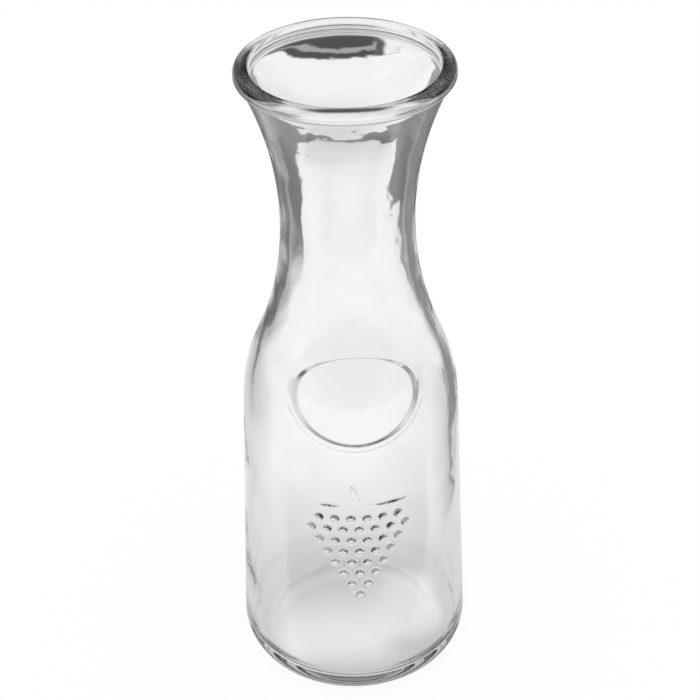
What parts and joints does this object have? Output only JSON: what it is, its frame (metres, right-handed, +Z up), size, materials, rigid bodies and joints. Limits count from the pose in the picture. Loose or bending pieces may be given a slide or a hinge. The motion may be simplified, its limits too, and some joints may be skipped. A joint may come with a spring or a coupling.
{
  "type": "glass carafe",
  "caption": "Clear glass table carafe with a wide flared mouth, rolled lip, waisted neck, tapered body, bare oval medallion and moulded bunch of grapes, for serving wine, water or milk.",
  "frame": {"origin": "centre of the standing ring, on the surface that the carafe stands on", "axes": "+Z up along the axis of the glass towards the mouth, -Y towards the moulded ornament"},
  "size_m": [0.0957, 0.0956, 0.272],
  "materials": {
    "clear_glass": "clear moulded glass, fire-polished lip, slightly wavy inner wall"
  },
  "bodies": {
    "root": {"glass_carafe": "clear_glass"}
  },
  "joints": []
}
